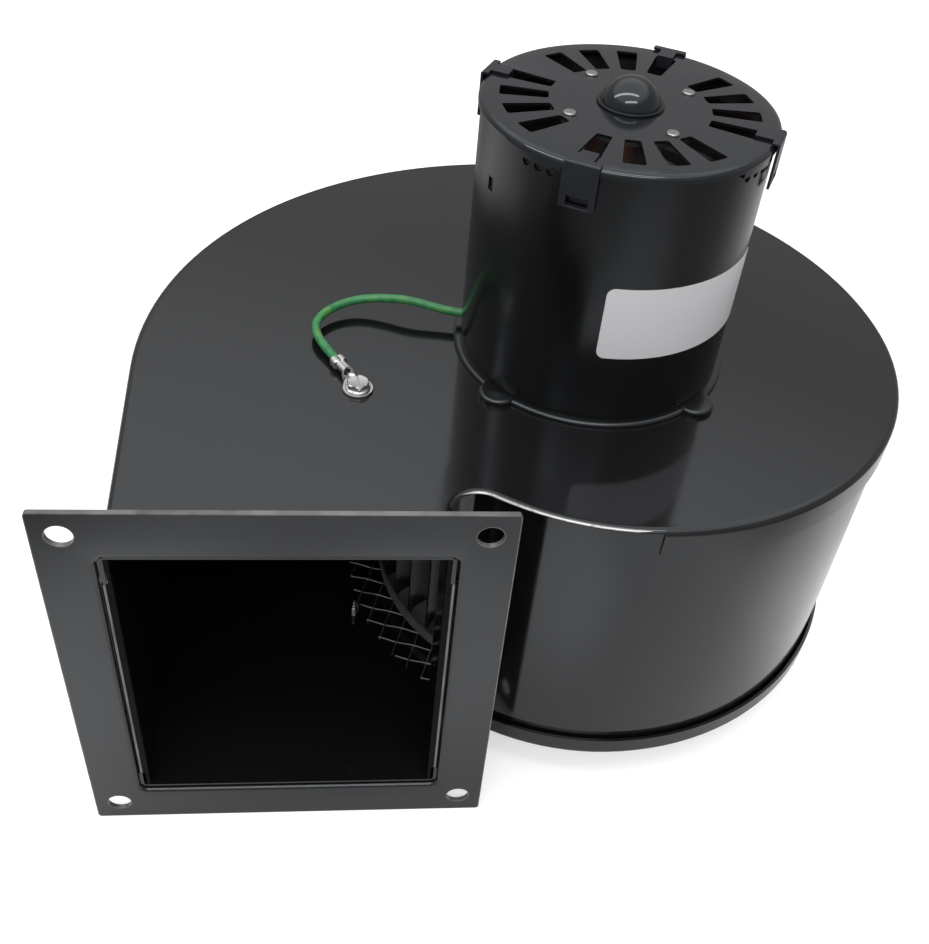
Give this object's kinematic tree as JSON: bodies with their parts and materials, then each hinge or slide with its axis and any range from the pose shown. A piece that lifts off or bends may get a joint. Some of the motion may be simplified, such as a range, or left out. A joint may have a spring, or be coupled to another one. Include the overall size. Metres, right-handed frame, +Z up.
{
  "type": "centrifugal blower",
  "caption": "Centrifugal blower: scroll housing with a square outlet flange, a squirrel-cage wheel and a vented motor on its cover.",
  "frame": {"origin": "centre of the outlet flange's four bolt holes, on the flange's front face", "axes": "+Z up along the motor shaft; the outlet blows towards -Y; +X runs along the flange towards the motor's side"},
  "size_m": [0.2625, 0.223, 0.2103],
  "materials": {
    "housing_paint": "gloss black enamel on sheet steel",
    "motor_paint": "gloss black enamel on the drawn can",
    "cap_paint": "semi-gloss black paint",
    "spring_steel": "blue-black oxide spring steel",
    "zinc_hardware": "bright zinc plating",
    "galvanised_wire": "dull galvanised wire",
    "bare_steel": "turned or pressed bare steel",
    "ground_steel": "ground shaft steel",
    "lamination_steel": "stacked electrical steel sheets",
    "bronze": "oil-soaked sintered bronze",
    "copper": "bare copper bar",
    "copper_winding": "enamelled copper winding",
    "rotor_aluminium": "die-cast aluminium",
    "wheel_steel": "dull galvanised sheet",
    "tinned_brass": "tin-plated brass",
    "label_film": "blank white film",
    "black_nylon": "moulded black nylon",
    "green_insulation": "green lead insulation",
    "fibre": "vulcanised fibre"
  },
  "bodies": {
    "housing": {"outlet_flange": "housing_paint", "top_cover": "housing_paint", "bottom_cover": "housing_paint", "scroll_wrap": "housing_paint", "inlet_mesh_guard": "galvanised_wire", "motor_base": "motor_paint", "motor_mount_screws": "zinc_hardware", "motor_can": "motor_paint", "motor_vent_cap": "cap_paint", "cap_rivets": "zinc_hardware", "cap_clips": "spring_steel", "bearing_dome": "cap_paint", "upper_bearing_bracket": "bare_steel", "upper_bearing": "bronze", "lower_bearing": "bronze", "stator_core": "lamination_steel", "shading_rings": "copper", "stator_coils": "copper_winding", "rating_label": "label_film", "lead_bushing": "black_nylon", "ground_lead": "green_insulation", "ring_terminal": "tinned_brass", "ground_screw": "zinc_hardware", "bottom_ground_screw": "zinc_hardware"},
    "rotor": {"motor_shaft": "ground_steel", "rotor_core": "lamination_steel", "rotor_end_rings": "rotor_aluminium", "shaft_collars": "bare_steel", "thrust_washers": "fibre", "wheel_hub": "bare_steel", "wheel_set_screw": "zinc_hardware", "wheel_back_plate": "wheel_steel", "wheel_end_ring": "wheel_steel", "wheel_blades": "wheel_steel"}
  },
  "joints": [
    {"name": "rotor_spin", "type": "hinge", "parent": "housing", "child": "rotor", "pos_m": [0.0953, 0.0983, 0], "axis": [0, 0, 1], "continuous": true}
  ]
}
